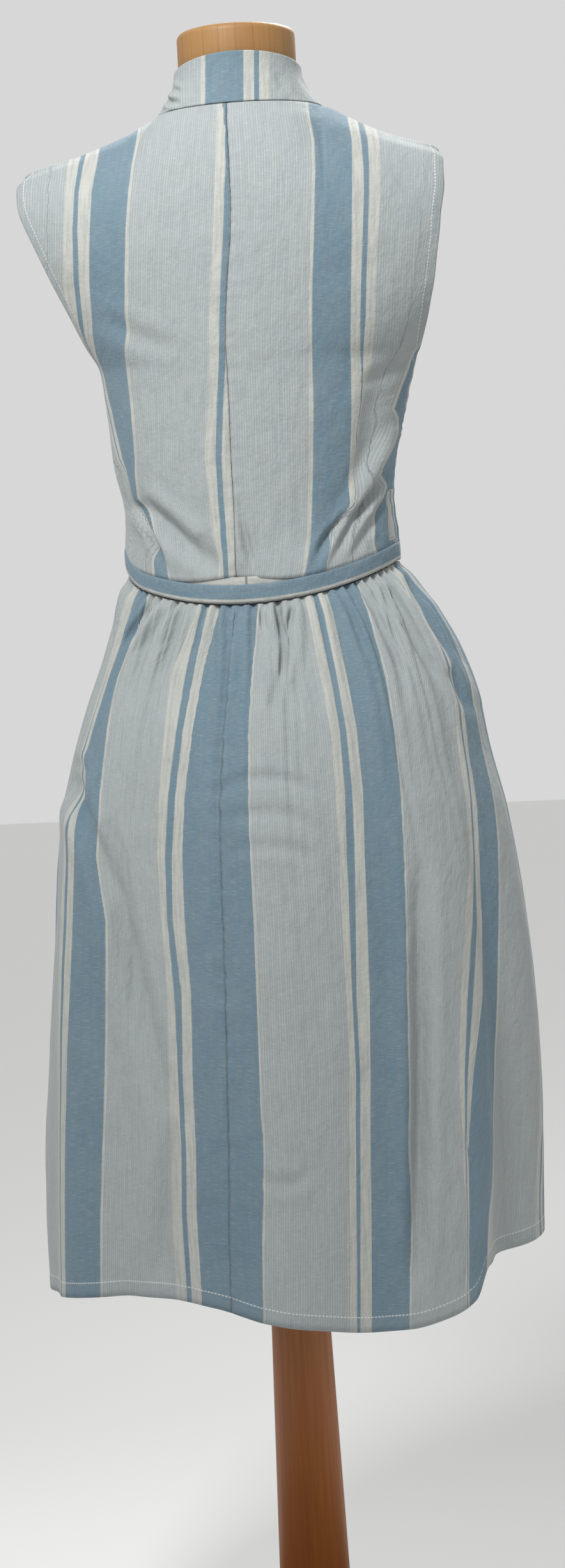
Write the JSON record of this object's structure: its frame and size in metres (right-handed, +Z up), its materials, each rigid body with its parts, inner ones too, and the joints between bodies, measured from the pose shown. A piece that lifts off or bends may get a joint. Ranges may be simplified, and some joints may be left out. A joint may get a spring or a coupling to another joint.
{
  "type": "midi dress on a limbless dress form with a stand",
  "caption": "Sleeveless striped cotton midi dress with a stand collar, gathered skirt and tie belt, worn by a limbless dress form on a round wooden stand.",
  "frame": {"origin": "middle of the stand's underside, on the floor", "axes": "+Z up, the front of the dress faces -Y, the wearer's left is +X"},
  "size_m": [0.4672, 0.3825, 1.503],
  "materials": {
    "striped_cotton": "matt plain-weave cotton with woven blue and white stripes",
    "belt_cotton": "matt plain-weave cotton, blue with a white edge",
    "button": "semi-gloss",
    "form_cover": "matt stretched jersey",
    "pale_wood": "satin lacquer",
    "brown_wood": "satin lacquer"
  },
  "bodies": {
    "root": {"skirt_back_left": "striped_cotton", "skirt_back_right": "striped_cotton", "skirt_front": "striped_cotton", "bodice_back_left": "striped_cotton", "bodice_back_right": "striped_cotton", "bodice_front_left": "striped_cotton", "bodice_front_right": "striped_cotton", "waistband": "striped_cotton", "collar": "striped_cotton", "placket": "striped_cotton", "belt": "belt_cotton", "belt_knot": "belt_cotton", "belt_tail_left": "belt_cotton", "belt_tail_right": "belt_cotton", "button_1": "button", "button_2": "button", "button_3": "button", "button_4": "button", "button_5": "button", "form_torso": "form_cover", "neck_cap": "pale_wood", "stand_post": "brown_wood", "stand_base": "brown_wood"}
  },
  "joints": []
}
